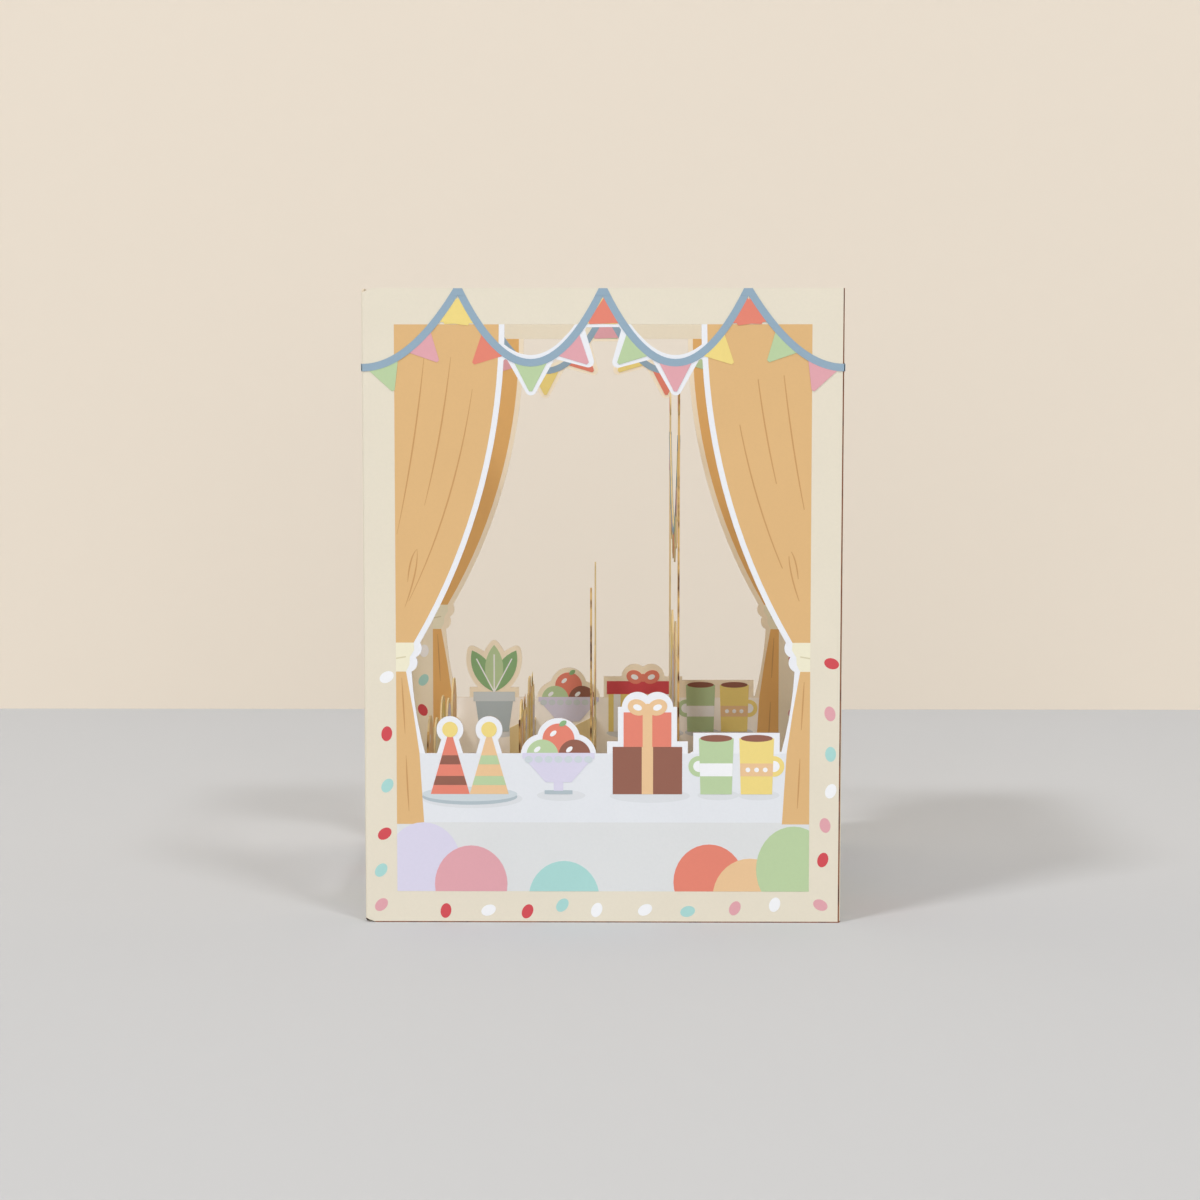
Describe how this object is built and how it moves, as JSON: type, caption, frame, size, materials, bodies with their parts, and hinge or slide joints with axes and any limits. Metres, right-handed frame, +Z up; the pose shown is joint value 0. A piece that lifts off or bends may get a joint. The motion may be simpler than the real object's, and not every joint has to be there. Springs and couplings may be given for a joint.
{
  "type": "pop-up window greeting card",
  "caption": "Standing pop-up greeting card: a square folded card sleeve with die-cut curtained windows and bunting in three walls, and glued picture panels across the inside.",
  "frame": {"origin": "middle of the footprint, on the surface the card stands on", "axes": "+Z up, -Y out of the front wall, +X to the right of a viewer in front"},
  "size_m": [0.11, 0.11, 0.146],
  "materials": {
    "printed_card": "matte uncoated printed card, cream with white window margins and scorched cut edges",
    "panel_card": "matte uncoated card, warm cream with printed figures and scorched cut edges"
  },
  "bodies": {
    "root": {"sleeve": "printed_card", "balloon_panel": "panel_card", "gift_panel": "panel_card", "flower_panel": "panel_card", "garland_panel": "panel_card"}
  },
  "joints": []
}
